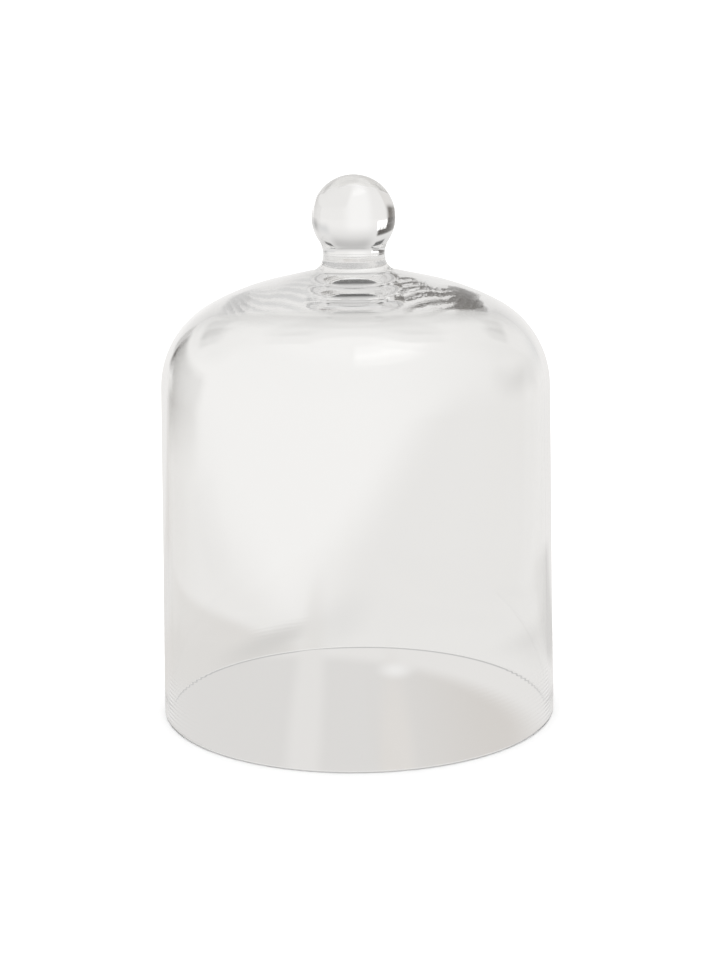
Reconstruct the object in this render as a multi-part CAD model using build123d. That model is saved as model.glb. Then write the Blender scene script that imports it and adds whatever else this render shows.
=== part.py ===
"""Bell jar dome: a tall clear-glass bell with a solid glass ball knob on a short neck.

Three pieces of glass, each turned about the Z axis and joined face to face while hot:
    bell_shell   the blown bell, open at the foot, thick at the crown, with a flared neck stub
    neck_collar  the short band of glass that joins the knob to the bell
    knob         the solid ball, with the tapered stem that is gripped to lift the bell

Millimetres, +Z up. The origin is the centre of the foot, in the plane that the rim rests on.
"""

import os
from math import cos, radians, sin, sqrt, tan

from build123d import *

# Outside of the bell
FOOT_RADIUS = 100.0
WALL_DRAFT = 1.1             # degrees that the wall leans in
SHOULDER_START = 168.4       # height where the straight wall ends
SHOULDER_RADIUS = 45.8
SHOULDER_END_SLOPE = 28.5    # degrees above the horizontal
CROWN_RADIUS = 128.0
CROWN_END_SLOPE = 13.0       # degrees above the horizontal
NECK_RADIUS = 15.3
FLARE_RADIUS = 7.7           # hollow curve from the crown up to the neck

# Inside of the bell
WALL_AT_FOOT = 3.0
WALL_AT_SHOULDER = 3.4
INNER_SHOULDER_DROP = 1.5    # how much lower the inner shoulder starts than the outer one
INNER_SHOULDER_RADIUS = 42.0
INNER_SHOULDER_SLOPE = 24.0  # degrees above the horizontal, where the ceiling's edge takes over
CEILING_EDGE_RADIUS = 106.0
CEILING_EDGE_SLOPE = 13.0    # degrees above the horizontal, where the domed middle takes over
RIM_ROUND = 0.8              # fire-polished edges of the foot

# Neck and knob
BELL_JOINT = 230.0           # height of the joint between the bell and the collar
COLLAR_HEIGHT = 2.7
SEAM_ROUND = 0.3             # softened edge of each piece where two of them meet
STEM_ROUND = 11.7            # hollow curve from the collar out to the stem's cone
STEM_LEAN = 28.4             # degrees that the stem's cone leans out from the vertical
BALL_RADIUS = 20.7

KNOB_JOINT = BELL_JOINT + COLLAR_HEIGHT


def bell_outside():
    """The outer curves of radius and height, from the foot up to the neck joint."""
    draft = radians(WALL_DRAFT)
    wall_top = Vector(FOOT_RADIUS - SHOULDER_START * tan(draft), SHOULDER_START)
    wall = Line((FOOT_RADIUS, 0), wall_top)

    shoulder_centre = wall_top - Vector(cos(draft), sin(draft)) * SHOULDER_RADIUS
    sweep = 90 - SHOULDER_END_SLOPE - WALL_DRAFT
    shoulder = CenterArc(shoulder_centre, SHOULDER_RADIUS, WALL_DRAFT, sweep)

    steep = radians(SHOULDER_END_SLOPE)
    crown_centre = shoulder @ 1 - Vector(sin(steep), cos(steep)) * CROWN_RADIUS
    sweep = SHOULDER_END_SLOPE - CROWN_END_SLOPE
    crown = CenterArc(crown_centre, CROWN_RADIUS, 90 - SHOULDER_END_SLOPE, sweep)

    # The flare starts along the crown's last straight slope, and would end upright at the neck.
    slope = radians(CROWN_END_SLOPE)
    crown_end = crown @ 1
    centre_x = NECK_RADIUS + FLARE_RADIUS
    centre_y = crown_end.Y + (crown_end.X - centre_x) * tan(slope) + FLARE_RADIUS / cos(slope)
    flare_centre = Vector(centre_x, centre_y)
    flare_start = flare_centre - Vector(sin(slope), cos(slope)) * FLARE_RADIUS
    cut_short = centre_y - BELL_JOINT
    joint_edge = (centre_x - sqrt(FLARE_RADIUS**2 - cut_short**2), BELL_JOINT)
    straight = Line(crown_end, flare_start)
    flare = RadiusArc(flare_start, joint_edge, FLARE_RADIUS)
    return [wall, shoulder, crown, straight, flare]


def bell_inside():
    """The inner curves of radius and height, from the foot up to the middle of the ceiling."""
    wall_height = SHOULDER_START - INNER_SHOULDER_DROP
    outer_radius = FOOT_RADIUS - wall_height * tan(radians(WALL_DRAFT))
    wall = Line((FOOT_RADIUS - WALL_AT_FOOT, 0), (outer_radius - WALL_AT_SHOULDER, wall_height))

    lean = wall % 1
    shoulder_centre = wall @ 1 - Vector(lean.Y, -lean.X) * INNER_SHOULDER_RADIUS
    draft = lean.get_angle(Vector(0, 1))
    sweep = 90 - INNER_SHOULDER_SLOPE - draft
    shoulder = CenterArc(shoulder_centre, INNER_SHOULDER_RADIUS, draft, sweep)

    slope = radians(INNER_SHOULDER_SLOPE)
    edge_centre = shoulder @ 1 - Vector(sin(slope), cos(slope)) * CEILING_EDGE_RADIUS
    sweep = INNER_SHOULDER_SLOPE - CEILING_EDGE_SLOPE
    edge = CenterArc(edge_centre, CEILING_EDGE_RADIUS, 90 - INNER_SHOULDER_SLOPE, sweep)

    slope = radians(CEILING_EDGE_SLOPE)
    edge_end = edge @ 1
    middle_radius = edge_end.X / sin(slope)
    middle_centre = (0, edge_end.Y - middle_radius * cos(slope))
    middle = CenterArc(middle_centre, middle_radius, 90 - CEILING_EDGE_SLOPE, CEILING_EDGE_SLOPE)
    return [wall, shoulder, edge, middle]


def knob_outside():
    """The outer curves of radius and height, from the collar up to the top of the ball."""
    lean = radians(STEM_LEAN)
    stem = CenterArc((NECK_RADIUS + STEM_ROUND, KNOB_JOINT), STEM_ROUND, 180, -STEM_LEAN)
    stem_end = stem @ 1
    ball_edge = BALL_RADIUS * cos(lean)
    cone_length = (ball_edge - stem_end.X) / sin(lean)
    cone = Line(stem_end, stem_end + Vector(sin(lean), cos(lean)) * cone_length)
    ball_centre = (0, (cone @ 1).Y + BALL_RADIUS * sin(lean))
    ball = CenterArc(ball_centre, BALL_RADIUS, -STEM_LEAN, 90 + STEM_LEAN)
    return [stem, cone, ball]


def turned(curves, rounded):
    """The solid that the closed curves make when turned about Z.

    rounded lists corners to soften, each as its radius, its height and the size of the round.
    """
    outline = make_face(curves)
    for radius, height, size in rounded:
        near = outline.vertices().sort_by_distance((radius, height, 0))[0]
        outline = fillet(near, size)
    return revolve(Plane.XZ * outline, axis=Axis.Z)


def bell_shell():
    outside = bell_outside()
    inside = bell_inside()
    joint_edge = outside[-1] @ 1
    joint_centre = (0, BELL_JOINT)
    rim = Line(outside[0] @ 0, inside[0] @ 0)
    joint = Line(joint_edge, joint_centre)
    core = Line(joint_centre, inside[-1] @ 1)
    rounded = [
        (FOOT_RADIUS, 0, RIM_ROUND),
        (FOOT_RADIUS - WALL_AT_FOOT, 0, RIM_ROUND),
        (joint_edge.X, BELL_JOINT, SEAM_ROUND),
    ]
    return turned(outside + [joint, core, rim] + inside, rounded)


def neck_collar():
    bottom_radius = (bell_outside()[-1] @ 1).X
    corners = [(0, BELL_JOINT), (bottom_radius, BELL_JOINT), (NECK_RADIUS, KNOB_JOINT), (0, KNOB_JOINT)]
    rounded = [(bottom_radius, BELL_JOINT, SEAM_ROUND), (NECK_RADIUS, KNOB_JOINT, SEAM_ROUND)]
    return turned(Polyline(*corners, close=True), rounded)


def knob():
    outside = knob_outside()
    joint_centre = (0, KNOB_JOINT)
    joint = Line(joint_centre, outside[0] @ 0)
    core = Line(outside[-1] @ 1, joint_centre)
    return turned([joint, core] + outside, [(NECK_RADIUS, KNOB_JOINT, SEAM_ROUND)])


os.makedirs("parts", exist_ok=True)
for make in (bell_shell, neck_collar, knob):
    piece = make()
    export_step(piece, f"parts/{make.__name__}.step")
    print(make.__name__, piece.bounding_box(), round(piece.volume))
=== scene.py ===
"""Bell jar dome: the glass of the bell, its collar and its knob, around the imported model.

Metres, +Z up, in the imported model's frame. Each piece is one closed mesh turned about Z.
"""
import random
from math import asin, atan2, cos, exp, pi, radians, sin, tan

import bpy
from mathutils import Euler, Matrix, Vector


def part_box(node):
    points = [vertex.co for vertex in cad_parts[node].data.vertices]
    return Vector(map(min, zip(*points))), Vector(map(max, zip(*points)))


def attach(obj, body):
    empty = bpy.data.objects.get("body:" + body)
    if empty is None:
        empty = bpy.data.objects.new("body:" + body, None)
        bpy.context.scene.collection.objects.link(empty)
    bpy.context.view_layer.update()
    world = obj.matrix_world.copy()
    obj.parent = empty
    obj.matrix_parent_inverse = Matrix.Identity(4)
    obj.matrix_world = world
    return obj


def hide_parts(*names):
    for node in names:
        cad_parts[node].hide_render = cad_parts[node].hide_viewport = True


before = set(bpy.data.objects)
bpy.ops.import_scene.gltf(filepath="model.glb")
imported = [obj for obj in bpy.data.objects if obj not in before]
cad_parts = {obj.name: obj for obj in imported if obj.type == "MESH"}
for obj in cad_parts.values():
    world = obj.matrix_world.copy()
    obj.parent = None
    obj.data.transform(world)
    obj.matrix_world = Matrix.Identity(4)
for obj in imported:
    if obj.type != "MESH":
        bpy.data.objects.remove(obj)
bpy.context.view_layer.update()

MM = 0.001

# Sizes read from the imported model
_, bell_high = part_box("bell_shell")
knob_low, knob_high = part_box("knob")
BELL_JOINT = bell_high[2]
KNOB_JOINT = knob_low[2]
TOP = knob_high[2]
BALL_RADIUS = (knob_high[0] - knob_low[0]) / 2

# The outline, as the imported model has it, except for the rim
FOOT_RADIUS = 100 * MM
WALL_DRAFT = radians(1.1)
SHOULDER_START = 168.4 * MM
SHOULDER_RADIUS = 45.8 * MM
SHOULDER_END_SLOPE = radians(28.5)
CROWN_RADIUS = 128 * MM
CROWN_END_SLOPE = radians(13)
NECK_RADIUS = 15.3 * MM
FLARE_RADIUS = 7.7 * MM
WALL_AT_FOOT = 3.0 * MM
WALL_AT_SHOULDER = 3.4 * MM
INNER_SHOULDER_DROP = 1.5 * MM
INNER_SHOULDER_RADIUS = 42 * MM
INNER_SHOULDER_SLOPE = radians(24)
CEILING_EDGE_RADIUS = 106 * MM
CEILING_EDGE_SLOPE = radians(13)
RIM_ROUND = 1.3 * MM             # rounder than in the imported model, as a fire-polished rim is
SEAM_ROUND = 0.3 * MM
STEM_ROUND = 11.7 * MM
STEM_LEAN = radians(28.4)

# Tool rings on the crown
RING_HEIGHT = 0.006 * MM
RING_WIDTH = 0.5 * MM
RING_FIRST = 24 * MM             # radius of the innermost ring
RING_LIMIT = 56 * MM             # the rings crowd together towards this radius
RING_CROWDING = 0.68
RING_COUNT = 7
RING_RADII = [RING_LIMIT - (RING_LIMIT - RING_FIRST) * RING_CROWDING**i for i in range(RING_COUNT)]
RING_REACH = 3 * RING_WIDTH      # the outline keeps all its points this near to a ring
RING_THINNING = 8                # and elsewhere on the crown one in this many

# Fine rings near the foot
WALL_RING_PITCH = 2.2 * MM
WALL_RING_DEPTH = 0.016 * MM
WALL_RING_TOP = 42 * MM

# Slow waves of the blown glass
WAVE_HEIGHT = 0.10 * MM
COLLAR_WAVE_HEIGHT = 0           # the collar is too short to have any
WAVE_TERMS = 6
WAVE_TURNS = (1, 5)              # fewest and most waves around the dome
WAVE_PACES = (15, 70)            # slowest and fastest change with height, in radians per metre
WAVE_HOLD = 4 * MM               # the waves fade out this near to the foot and the joints

# About how far apart the outline's points are
STRAIGHT_STEP = 4 * MM
SHOULDER_STEP = 1.6 * MM
INNER_SHOULDER_STEP = 1.2 * MM
CEILING_STEP = 1 * MM
CROWN_STEP = 0.15 * MM
FLARE_STEP = 0.4 * MM
WALL_RING_STEP = 0.3 * MM
RIM_STEP = 0.25 * MM
RIM_FLAT_STEP = 0.3 * MM
SEAM_STEP = 0.08 * MM
COLLAR_STEP = 0.4 * MM
STEM_STEP = 0.5 * MM
BALL_STEP = 0.7 * MM

SEGMENTS = 240                   # around the axis

# A face is part of a joint if it is this flat and this near to the joint's height.
FLAT_NORMAL = 0.999
JOINT_REACH = 0.01 * MM

# The glass
GLASS_INDEX = 1.5
GLASS_TINT = (0.985, 0.985, 0.98, 1)
STREAK_SCALE = (18, 18, 60)
STREAK_DETAIL = 2
STREAK_STRENGTH = 0.05
STREAK_DEPTH = 0.1 * MM

# The camera. The angles are in radians.
LENS = 75
SENSOR_WIDTH = 36
VIEW_END = 100
CAMERA_PLACE = (1.7 * MM, -984.5 * MM, 340.3 * MM)
CAMERA_DOWN = 0.2215
CAMERA_ROLL = -0.0115


def grey(level, warmth=0):
    """A grey with this much more red and less blue."""
    return (level * (1 + warmth), level, level * (1 - warmth), 1)


# What the glass shows of the room, and of the floor as painted light and shade. Azimuths are in
# degrees: 0 is straight behind the dome, and they grow to the right. The camera and the floor's own
# shading see even white instead.
BACK_HALF = (0, 78, 14)          # the side behind the dome: middle, half width, softness
# In the room this strip is a light; on the floor it is painted light.
BACK_STRIP = (-5, 11, 6)         # a brighter strip of it: the same three
LIGHT_STRIP_TONE = grey(0.93, 0.008)
ROOM_BACK_TONE = grey(0.86, 0.012)
FLOOR_BACK_TONE = grey(0.84, 0.012)
FRONT_TONE = grey(0.8, 0.01)
# Painted shade: the front floor is darker near the dome.
FRONT_NEAR_SHADE_TONE = grey(0.76, 0.01)
FRONT_NEAR = 0.15                # metres from the axis: the front floor has its near tone up to here
FRONT_FAR = 0.6                  # and the front's own tone from here on

# Each card: azimuth, half width, lowest and highest point in degrees above the horizon, softness in
# degrees, tone. The last one is the softbox overhead.
CARDS = [
    (0, 60, 8, 26, 6, grey(0.77, 0.01)),
    (0, 75, 24, 62, 10, grey(0.64, 0.01)),
    (0, 180, 62, 95, 12, grey(1.0)),
    (180, 100, 22, 62, 10, grey(0.74)),
    (0, 60, 56, 72, 3, grey(0.06)),
    (3, 22, 18, 34, 8, grey(0.5, 0.01)),
    (37, 10, 4, 13, 5, grey(0.68)),
    (66, 18, 0, 14, 7, grey(0.5)),
    (-60, 18, -13, 5, 2, grey(0.05, 0.15)),
    (-52, 26, 4, 16, 2, grey(0.05, 0.15)),
    (-37, 9, 25, 36, 2, grey(0.04)),
    (38, 7, 27, 36, 2, grey(0.05)),
    (137, 44, 63, 80, 4, grey(1.9)),
]

# Each painted dark sector of the floor: azimuth and half width in degrees, nearest and furthest point
# in metres, tone. The far one is painted darkness that the knob shows as its dark edge; the two near
# ones are painted shadows.
PAINTED_DARK_SECTORS = [
    (-60, 18, 0.9, 20, grey(0.10, 0.15)),
    (-45, 10, 0.2, 0.4, grey(0.76, 0.015)),
    (54, 13, 0.14, 0.4, grey(0.66, 0.015)),
]
SECTOR_SOFT = 5                  # degrees over which its sides fade
SECTOR_END_SOFT = 0.25           # the same for its ends, as a share of its nearest point

# Each painted shadow on the floor behind, a darker zone on the left-hand side of a line: a point of
# the line in mm, the way that it runs in degrees, softness in mm, tone.
SHADOW_ZONES = [
    (-40, 150, -100, 30, grey(0.82, 0.012)),
    (-43, 112, 130, 10, grey(0.72, 0.025)),
]
SHADOW_ZONE_NEAR = 0.8                  # metres from the axis: the zones start to fade here
SHADOW_ZONE_FAR = 1.3                   # and have gone here

# Each patch of painted light and shadow on the floor: x, y, half length and half width in mm, turn
# in degrees, softness as a share of its size, tone.
PAINTED_LIGHT_AND_SHADOW_PATCHES = [
    # painted shadows of the knob
    (-11, 150, 50, 12, 80, 0.9, grey(0.78, 0.01)),
    (-52, 112, 36, 12, 60, 0.9, grey(0.64, 0.02)),
    # painted streaks of reflected light
    (-27, -20, 210, 8, 90, 0.5, grey(0.76, 0.018)),
    (18, -115, 165, 8, 90, 0.5, grey(0.71, 0.035)),
    # a painted highlight
    (20, 57, 11, 7, 90, 0.9, grey(0.84, 0.01)),
]

# The greyer floor inside the foot: x, y, half length, half width, turn in degrees, softness as a
# share of its size.
SHADE = (-20 * MM, -20 * MM, 92 * MM, 115 * MM, 45, 0.12)
SHADE_LEFT_TONE = grey(0.70, 0.018)
SHADE_RIGHT_TONE = grey(0.62, 0.045)
SHADE_TURN = 80 * MM             # the tone goes from left to right between x = 0 and here
# Painted shade: the floor inside the foot is darker than around it, and greyer still in the patch
# above.
INSIDE_SHADE_TONE = grey(0.78, 0.018)
INSIDE_END = 100 * MM            # radius at which the floor inside has given way to the rest
INSIDE_START = 96 * MM           # and up to which it is unmixed

# A painted contact shadow, the thin dark line where the rim stands: radius, half width, softness.
CONTACT_SHADOW = (98.5 * MM, 1.2 * MM, 0.6 * MM)
CONTACT_SHADOW_TONE = grey(0.5)

FLOOR_RADIUS = 6
FLOOR_SIDES = 64
FLOOR_DROP = 0.02 * MM           # the floor is this much lower than the foot
FLOOR_WHITE = grey(0.95)
ROOM_WHITE = grey(1.6)

# The window that the knob shows: upright panes side by side, each turned to the knob.
PANE_AZIMUTHS = [-35, -30, -25]
WINDOW_AWAY = 0.3
WINDOW_HEIGHT = 0.271
WINDOW_TONE = 2
PANE_WIDTH = 26 * MM
PANE_HEIGHT = 48 * MM
PANE_SPREAD = radians(9)         # how far from its own direction each pane still shines

BOUNCES = 96


def arc(centre, radius, start, end, step):
    """Points of radius and height on an arc from angle start to end, about step apart."""
    count = max(2, round(abs(end - start) * radius / step))
    angles = [start + (end - start) * i / count for i in range(count + 1)]
    return [Vector((centre[0] + radius * cos(a), centre[1] + radius * sin(a))) for a in angles]


def line(start, end, step):
    """Points of radius and height on a straight line, about step apart."""
    start, end = Vector(start), Vector(end)
    count = max(1, round((end - start).length / step))
    return [start.lerp(end, i / count) for i in range(count + 1)]


def joined(*stretches):
    """One outline from stretches that each start where the last one ends."""
    points = list(stretches[0])
    for stretch in stretches[1:]:
        points += stretch[1:]
    return points


def raised(outline, height):
    """The outline moved out along its own normal by height(point)."""
    moved = []
    for i, point in enumerate(outline):
        along = outline[min(i + 1, len(outline) - 1)] - outline[max(i - 1, 0)]
        normal = Vector((along.y, -along.x)).normalized()
        moved.append(point + normal * height(point))
    return moved


def thinned(outline):
    """The crown's outline with all its points beside the rings, and few between them."""
    kept = []
    for i, point in enumerate(outline):
        beside = min(abs(point.x - radius) for radius in RING_RADII) < RING_REACH
        if beside or i % RING_THINNING == 0 or i == len(outline) - 1:
            kept.append(point)
    return kept


def crown_ring(point):
    """Height of the tool rings that crowd together on the crown."""
    return sum(RING_HEIGHT * exp(-(((point.x - radius) / RING_WIDTH) ** 2)) for radius in RING_RADII)


def wall_ring(point):
    """Height of the fine rings near the foot, fading out upwards."""
    fade = max(0, 1 - point.y / WALL_RING_TOP)
    return WALL_RING_DEPTH * fade * sin(2 * pi * point.y / WALL_RING_PITCH)


def bell_outside():
    """The bell's outer outline, from the rim's outer round up to the neck joint's round."""
    wall_top = Vector((FOOT_RADIUS - SHOULDER_START * tan(WALL_DRAFT), SHOULDER_START))
    foot = Vector((FOOT_RADIUS - RIM_ROUND * tan(WALL_DRAFT), RIM_ROUND))
    ring_top = foot.lerp(wall_top, (WALL_RING_TOP - foot.y) / (wall_top.y - foot.y))

    shoulder_centre = wall_top - Vector((cos(WALL_DRAFT), sin(WALL_DRAFT))) * SHOULDER_RADIUS
    shoulder_end = pi / 2 - SHOULDER_END_SLOPE
    shoulder = arc(shoulder_centre, SHOULDER_RADIUS, WALL_DRAFT, shoulder_end, SHOULDER_STEP)

    steep = Vector((sin(SHOULDER_END_SLOPE), cos(SHOULDER_END_SLOPE)))
    crown_centre = shoulder[-1] - steep * CROWN_RADIUS
    crown_end = pi / 2 - CROWN_END_SLOPE
    crown = arc(crown_centre, CROWN_RADIUS, shoulder_end, crown_end, CROWN_STEP)

    # The flare starts along the crown's last straight slope, and would end upright at the neck.
    centre_x = NECK_RADIUS + FLARE_RADIUS
    rise = (crown[-1].x - centre_x) * tan(CROWN_END_SLOPE)
    centre_y = crown[-1].y + rise + FLARE_RADIUS / cos(CROWN_END_SLOPE)
    cut_short = asin((centre_y - (BELL_JOINT - SEAM_ROUND)) / FLARE_RADIUS)
    flare_start = 1.5 * pi - CROWN_END_SLOPE
    flare = arc((centre_x, centre_y), FLARE_RADIUS, flare_start, pi + cut_short, FLARE_STEP)
    straight = line(crown[-1], flare[0], CROWN_STEP)

    wall = joined(line(foot, ring_top, WALL_RING_STEP), line(ring_top, wall_top, STRAIGHT_STEP))
    top = joined(thinned(joined(crown, straight)), flare)
    return joined(raised(wall, wall_ring), shoulder, raised(top, crown_ring))


def bell_inside():
    """The bell's inner outline, from the rim's inner round up to the middle of the ceiling."""
    foot_radius = FOOT_RADIUS - WALL_AT_FOOT
    height = SHOULDER_START - INNER_SHOULDER_DROP
    top_radius = FOOT_RADIUS - height * tan(WALL_DRAFT) - WALL_AT_SHOULDER
    draft = (foot_radius - top_radius) / height
    foot = Vector((foot_radius - RIM_ROUND * draft, RIM_ROUND))
    wall_top = Vector((top_radius, height))
    shoulder_centre = wall_top - Vector((cos(draft), sin(draft))) * INNER_SHOULDER_RADIUS
    shoulder_end = pi / 2 - INNER_SHOULDER_SLOPE
    shoulder = arc(shoulder_centre, INNER_SHOULDER_RADIUS, draft, shoulder_end, INNER_SHOULDER_STEP)

    steep = Vector((sin(INNER_SHOULDER_SLOPE), cos(INNER_SHOULDER_SLOPE)))
    edge_centre = shoulder[-1] - steep * CEILING_EDGE_RADIUS
    edge_end = pi / 2 - CEILING_EDGE_SLOPE
    edge = arc(edge_centre, CEILING_EDGE_RADIUS, shoulder_end, edge_end, CEILING_STEP)
    middle_radius = edge[-1].x / sin(CEILING_EDGE_SLOPE)
    middle_centre = (0, edge[-1].y - middle_radius * cos(CEILING_EDGE_SLOPE))
    middle = arc(middle_centre, middle_radius, edge_end, pi / 2, CEILING_STEP)
    return joined(line(foot, wall_top, STRAIGHT_STEP), shoulder, edge, middle)


def seam_corner(radius, height, up):
    """The rounded edge beside a joint face, from the side of the piece to the face."""
    away = 1 if up else -1
    centre = (radius - SEAM_ROUND, height - SEAM_ROUND * away)
    return arc(centre, SEAM_ROUND, 0, away * pi / 2, SEAM_STEP)


def bell_outline():
    """The bell's whole outline, from the middle of the ceiling down, round the rim and up again."""
    outside = bell_outside()
    inside = bell_inside()
    rim_outer = (outside[0].x - RIM_ROUND, RIM_ROUND)
    rim_inner = (inside[0].x + RIM_ROUND, RIM_ROUND)
    rim = joined(
        arc(rim_inner, RIM_ROUND, pi, 1.5 * pi, RIM_STEP),
        line((rim_inner[0], 0), (rim_outer[0], 0), RIM_FLAT_STEP),
        arc(rim_outer, RIM_ROUND, -pi / 2, 0, RIM_STEP),
    )
    joint = seam_corner(outside[-1].x, BELL_JOINT, up=True)
    face = line(joint[-1], (0, BELL_JOINT), STRAIGHT_STEP)
    return joined(list(reversed(inside)), rim, outside, joint, face)


def collar_outline():
    """The collar's outline, from the middle of its lower face to the middle of its upper one."""
    low = seam_corner(bell_outside()[-1].x, BELL_JOINT, up=False)
    high = seam_corner(NECK_RADIUS, KNOB_JOINT, up=True)
    return joined(
        line((0, BELL_JOINT), low[-1], STRAIGHT_STEP),
        list(reversed(low)),
        line(low[0], high[0], COLLAR_STEP),
        high,
        line(high[-1], (0, KNOB_JOINT), STRAIGHT_STEP),
    )


def knob_outline():
    """The knob's outline, from the middle of its joint face to the top of the ball."""
    low = seam_corner(NECK_RADIUS, KNOB_JOINT, up=False)
    stem_centre = (NECK_RADIUS + STEM_ROUND, low[0].y)
    stem = arc(stem_centre, STEM_ROUND, pi, pi - STEM_LEAN, STEM_STEP)
    ball = arc((0, TOP - BALL_RADIUS), BALL_RADIUS, -STEM_LEAN, pi / 2, BALL_STEP)
    return joined(
        line((0, KNOB_JOINT), low[-1], STRAIGHT_STEP),
        list(reversed(low)),
        stem,
        line(stem[-1], ball[0], STEM_STEP),
        ball,
    )


def waves(seed, height):
    """Slow unevenness: a function of angle and height above the foot, at most height either way."""
    rng = random.Random(seed)
    terms = []
    for _ in range(WAVE_TERMS):
        terms.append((rng.randint(*WAVE_TURNS), rng.uniform(*WAVE_PACES), rng.uniform(0, 2 * pi)))

    def wave(angle, z):
        total = sum(sin(turns * angle + pace * z + start) for turns, pace, start in terms)
        return height * total / len(terms)

    return wave


def turned(name, outline, wave):
    """A closed mesh from an outline that runs from axis to axis, with smooth shading."""
    points = outline[1:-1]
    vertices = [(0, 0, outline[0].y)]
    for point in points:
        clear = min(abs(point.y - BELL_JOINT), abs(point.y - KNOB_JOINT), point.y)
        hold = min(1, clear / WAVE_HOLD)
        for i in range(SEGMENTS):
            angle = 2 * pi * i / SEGMENTS
            radius = point.x + wave(angle, point.y) * hold
            vertices.append((radius * cos(angle), radius * sin(angle), point.y))
    vertices.append((0, 0, outline[-1].y))
    last = len(vertices) - 1
    top = 1 + (len(points) - 1) * SEGMENTS
    faces = []
    for i in range(SEGMENTS):
        after = (i + 1) % SEGMENTS
        faces.append((0, 1 + after, 1 + i))
        for row in range(len(points) - 1):
            low = 1 + row * SEGMENTS
            high = low + SEGMENTS
            faces.append((low + i, low + after, high + after, high + i))
        faces.append((last, top + i, top + after))
    mesh = bpy.data.meshes.new(name)
    mesh.from_pydata(vertices, [], faces)
    mesh.shade_smooth()
    piece = bpy.data.objects.new(name, mesh)
    bpy.context.scene.collection.objects.link(piece)
    return piece


def fuse(piece, heights, glass, fused):
    """Gives the flat faces at the joint heights the fused material, and the rest the glass."""
    piece.data.materials.append(glass)
    piece.data.materials.append(fused)
    for face in piece.data.polygons:
        flat = abs(face.normal.z) > FLAT_NORMAL
        at_joint = any(abs(face.center.z - height) < JOINT_REACH for height in heights)
        face.material_index = 1 if flat and at_joint else 0


def clear_glass(name):
    """Clear blown glass, slightly grey, with faint streaks that run around the dome."""
    material = bpy.data.materials.new(name)
    material.use_nodes = True
    nodes = material.node_tree.nodes
    links = material.node_tree.links
    shader = nodes["Principled BSDF"]
    shader.inputs["Transmission Weight"].default_value = 1
    shader.inputs["IOR"].default_value = GLASS_INDEX
    shader.inputs["Roughness"].default_value = 0
    shader.inputs["Base Color"].default_value = GLASS_TINT

    place = nodes.new("ShaderNodeTexCoord")
    stretch = nodes.new("ShaderNodeMapping")
    stretch.inputs["Scale"].default_value = STREAK_SCALE
    streak = nodes.new("ShaderNodeTexNoise")
    streak.inputs["Scale"].default_value = 1
    streak.inputs["Detail"].default_value = STREAK_DETAIL
    bump = nodes.new("ShaderNodeBump")
    bump.inputs["Strength"].default_value = STREAK_STRENGTH
    bump.inputs["Distance"].default_value = STREAK_DEPTH
    links.new(place.outputs["Object"], stretch.inputs["Vector"])
    links.new(stretch.outputs[0], streak.inputs["Vector"])
    links.new(streak.outputs[0], bump.inputs["Height"])
    links.new(bump.outputs[0], shader.inputs["Normal"])
    return material


def fused_joint():
    """The hidden face between two fused pieces: glass against glass, so light goes straight on."""
    material = bpy.data.materials.new("fused_joint")
    material.use_nodes = True
    material.node_tree.nodes["Principled BSDF"].inputs["Alpha"].default_value = 0
    return material


def camera():
    """The view of the photograph: a long lens, higher than the knob, looking a little down."""
    data = bpy.data.cameras.new("camera")
    data.lens = LENS
    data.sensor_width = SENSOR_WIDTH
    data.clip_end = VIEW_END
    eye = bpy.data.objects.new("camera", data)
    eye.location = CAMERA_PLACE
    look_down = Euler((pi / 2 - CAMERA_DOWN, 0, 0)).to_matrix()
    roll = Euler((0, 0, CAMERA_ROLL)).to_matrix()
    eye.rotation_euler = (look_down @ roll).to_euler()
    bpy.context.scene.collection.objects.link(eye)
    bpy.context.scene.camera = eye


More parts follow.
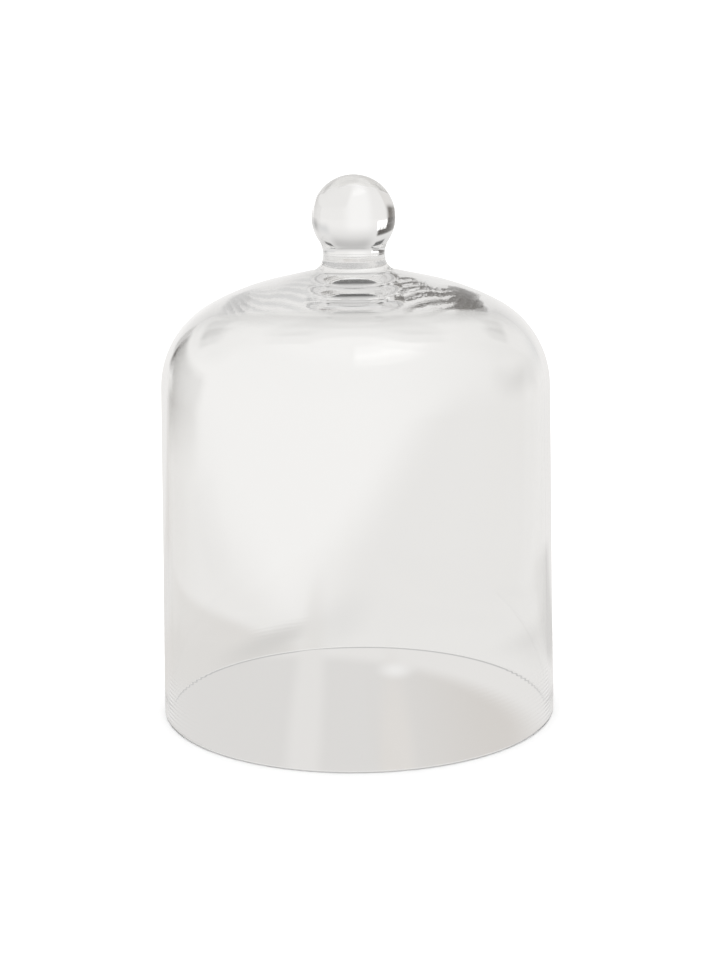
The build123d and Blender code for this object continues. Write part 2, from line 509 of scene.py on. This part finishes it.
class Maths:
    """Shader maths on one node tree: each call adds its nodes and gives the output."""

    def __init__(self, tree):
        self.tree = tree

    def node(self, kind, inputs, output=0, **values):
        node = self.tree.nodes.new(kind)
        for key, value in values.items():
            setattr(node, key, value)
        for key, value in inputs.items():
            if isinstance(value, bpy.types.NodeSocket):
                self.tree.links.new(value, node.inputs[key])
            else:
                node.inputs[key].default_value = value
        return node.outputs[output]

    def math(self, operation, *values):
        return self.node("ShaderNodeMath", dict(enumerate(values)), operation=operation)

    def sum(self, first, second):
        return self.math("ADD", first, second)

    def less(self, first, second):
        """What is left of the first once the second is taken away."""
        return self.math("SUBTRACT", first, second)

    def both(self, first, second):
        return self.math("MULTIPLY", first, second)

    def length(self, x, y):
        return self.math("SQRT", self.sum(self.both(x, x), self.both(y, y)))

    def degrees(self, angle):
        return self.math("DEGREES", angle)

    def split(self, vector):
        node = self.tree.nodes.new("ShaderNodeSeparateXYZ")
        self.tree.links.new(vector, node.inputs[0])
        return node.outputs

    def light_path(self, output):
        return self.node("ShaderNodeLightPath", {}, output)

    def mix(self, share, low, high):
        """The colour low where share is 0, and high where it is 1."""
        inputs = {"Factor": share, "A": low, "B": high}
        return self.node("ShaderNodeMix", inputs, "Result", data_type="RGBA")

    def fade(self, value, start, end):
        """0 where value is at start, 1 where it is at end, and smooth between."""
        inputs = {"Value": value, "From Min": start, "From Max": end}
        return self.node("ShaderNodeMapRange", inputs, interpolation_type="SMOOTHSTEP")

    def within(self, value, middle, half, soft):
        """1 where value is well within half of the middle, fading out over soft each way."""
        off = self.math("ABSOLUTE", self.less(value, middle))
        return self.fade(off, half + soft, half - soft)

    def between(self, value, low, high, soft):
        """1 where value is well between low and high, fading out over soft each way."""
        return self.within(value, (low + high) / 2, (high - low) / 2, soft)

    def facing(self, azimuth, middle, half, soft):
        """1 within half of the middle azimuth, counted the short way round."""
        turn = self.math("WRAP", self.less(azimuth, middle), 180, -180)
        return self.within(turn, 0, half, soft)

    def patch(self, x, y, across, along, length, width, turn, soft):
        """1 inside an ellipse on the floor, fading out over soft of its size each way."""
        aside = self.less(x, across)
        ahead = self.less(y, along)
        run_x = cos(radians(turn))
        run_y = sin(radians(turn))
        lengthways = self.sum(self.both(aside, run_x / length), self.both(ahead, run_y / length))
        sideways = self.less(self.both(ahead, run_x / width), self.both(aside, run_y / width))
        return self.fade(self.length(lengthways, sideways), 1 + soft, 1 - soft)

    def beside(self, x, y, across, along, turn, soft):
        """1 on the left-hand side of a line through a point, fading out over soft each way."""
        aside = self.less(x, across)
        ahead = self.less(y, along)
        left = self.less(self.both(ahead, cos(radians(turn))), self.both(aside, sin(radians(turn))))
        return self.fade(left, -soft, soft)


def painted_floor_shading(maths):
    """The tones that the glass shows of the floor: painted light and shade on a grey floor."""
    x, y, _ = maths.split(maths.node("ShaderNodeNewGeometry", {}, "Position"))
    azimuth = maths.degrees(maths.math("ARCTAN2", x, y))
    away = maths.length(x, y)

    # Painted light: a brighter strip across the floor behind.
    back = maths.mix(maths.within(azimuth, *BACK_STRIP), FLOOR_BACK_TONE, LIGHT_STRIP_TONE)
    # Painted shadows on the floor behind.
    for across, along, turn, soft, level in SHADOW_ZONES:
        share = maths.beside(x, y, across * MM, along * MM, turn, soft * MM)
        back = maths.mix(maths.both(share, maths.fade(away, SHADOW_ZONE_FAR, SHADOW_ZONE_NEAR)), back, level)
    # Painted shade: the front floor darker near the dome.
    front = maths.mix(maths.fade(away, FRONT_NEAR, FRONT_FAR), FRONT_NEAR_SHADE_TONE, FRONT_TONE)
    tone = maths.mix(maths.within(azimuth, *BACK_HALF), front, back)
    # Painted darkness far out, and painted shadows near the dome.
    for middle, half, near, far, level in PAINTED_DARK_SECTORS:
        share = maths.both(
            maths.facing(azimuth, middle, half, SECTOR_SOFT),
            maths.between(away, near, far, near * SECTOR_END_SOFT),
        )
        tone = maths.mix(share, tone, level)

    # Painted shade on the floor inside the foot, greyer to the right.
    shade = maths.mix(maths.fade(x, 0, SHADE_TURN), SHADE_LEFT_TONE, SHADE_RIGHT_TONE)
    inside = maths.mix(maths.patch(x, y, *SHADE), INSIDE_SHADE_TONE, shade)
    tone = maths.mix(maths.fade(away, INSIDE_END, INSIDE_START), tone, inside)
    # The painted contact shadow under the rim.
    tone = maths.mix(maths.within(away, *CONTACT_SHADOW), tone, CONTACT_SHADOW_TONE)
    # Painted shadows of the knob, painted streaks of reflected light and a painted highlight.
    for across, along, length, width, turn, soft, level in PAINTED_LIGHT_AND_SHADOW_PATCHES:
        share = maths.patch(x, y, across * MM, along * MM, length * MM, width * MM, turn, soft)
        tone = maths.mix(share, tone, level)
    return tone


def floor():
    """A white floor: evenly lit white to the camera, and glowing with painted light and shade to the
    glass.
    """
    angles = [2 * pi * i / FLOOR_SIDES for i in range(FLOOR_SIDES)]
    mesh = bpy.data.meshes.new("floor")
    ring = [(FLOOR_RADIUS * cos(angle), FLOOR_RADIUS * sin(angle), 0) for angle in angles]
    mesh.from_pydata(ring, [], [tuple(range(FLOOR_SIDES))])
    plane = bpy.data.objects.new("floor", mesh)
    plane.location.z = -FLOOR_DROP
    bpy.context.scene.collection.objects.link(plane)

    material = bpy.data.materials.new("floor")
    material.use_nodes = True
    maths = Maths(material.node_tree)
    # To the glass the floor glows with its painted light and shade; the camera sees it lit white.
    painted_glow = maths.node("ShaderNodeEmission", {"Color": painted_floor_shading(maths)})
    lit = maths.node("ShaderNodeBsdfDiffuse", {"Color": FLOOR_WHITE})
    seen = maths.light_path("Is Camera Ray")
    surface = maths.node("ShaderNodeMixShader", {0: seen, 1: painted_glow, 2: lit})
    material.node_tree.links.new(surface, material.node_tree.nodes["Material Output"].inputs["Surface"])
    mesh.materials.append(material)


def studio():
    """A white room: all white to the camera and the floor, and with its cards to the glass."""
    world = bpy.data.worlds.new("studio")
    world.use_nodes = True
    bpy.context.scene.world = world
    maths = Maths(world.node_tree)
    across, along, up = maths.split(maths.node("ShaderNodeTexCoord", {}, "Generated"))
    azimuth = maths.degrees(maths.math("ARCTAN2", across, along))
    height = maths.degrees(maths.math("ARCSINE", up))

    back = maths.mix(maths.within(azimuth, *BACK_STRIP), ROOM_BACK_TONE, LIGHT_STRIP_TONE)
    tone = maths.mix(maths.within(azimuth, *BACK_HALF), FRONT_TONE, back)
    for middle, half, low, high, soft, level in CARDS:
        share = maths.both(
            maths.facing(azimuth, middle, half, soft),
            maths.between(height, low, high, soft),
        )
        tone = maths.mix(share, tone, level)
    white = maths.math("MAXIMUM", maths.light_path("Is Camera Ray"), maths.light_path("Is Diffuse Ray"))
    shown = maths.mix(white, tone, ROOM_WHITE)
    world.node_tree.links.new(shown, world.node_tree.nodes["Background"].inputs["Color"])


def window():
    """A small bright window behind and to the left, which shines on the knob and not beside it."""
    tilt = atan2(WINDOW_HEIGHT - (TOP - BALL_RADIUS), WINDOW_AWAY)
    # A narrow spread makes a pane brighter straight ahead, so its energy is lowered by as much.
    narrowing = tan(PANE_SPREAD) / (tan(PANE_SPREAD) - PANE_SPREAD)
    for number, degrees in enumerate(PANE_AZIMUTHS):
        data = bpy.data.lights.new(f"pane_{number}", "AREA")
        data.shape = "RECTANGLE"
        data.size = PANE_WIDTH
        data.size_y = PANE_HEIGHT
        data.spread = 2 * PANE_SPREAD
        data.energy = WINDOW_TONE * pi * PANE_WIDTH * PANE_HEIGHT / narrowing
        pane = bpy.data.objects.new(f"pane_{number}", data)
        azimuth = radians(degrees)
        pane.location = (WINDOW_AWAY * sin(azimuth), WINDOW_AWAY * cos(azimuth), WINDOW_HEIGHT)
        pane.rotation_euler = (tilt - pi / 2, 0, -azimuth)
        pane.visible_camera = False
        bpy.context.scene.collection.objects.link(pane)


glass = clear_glass("bell_glass")
solid_glass = clear_glass("knob_glass")
fused = fused_joint()

bell = turned("bell", bell_outline(), waves(3, WAVE_HEIGHT))
fuse(bell, [BELL_JOINT], glass, fused)
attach(bell, "root")
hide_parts("bell_shell")

collar = turned("collar", collar_outline(), waves(5, COLLAR_WAVE_HEIGHT))
fuse(collar, [BELL_JOINT, KNOB_JOINT], solid_glass, fused)
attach(collar, "root")
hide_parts("neck_collar")

ball = turned("ball_knob", knob_outline(), waves(7, WAVE_HEIGHT))
fuse(ball, [KNOB_JOINT], solid_glass, fused)
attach(ball, "root")
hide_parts("knob")

floor()
studio()
window()
camera()
scene = bpy.context.scene
scene.view_settings.view_transform = "Standard"
scene.cycles.max_bounces = BOUNCES
scene.cycles.transmission_bounces = BOUNCES
scene.cycles.glossy_bounces = BOUNCES
scene.cycles.transparent_max_bounces = BOUNCES
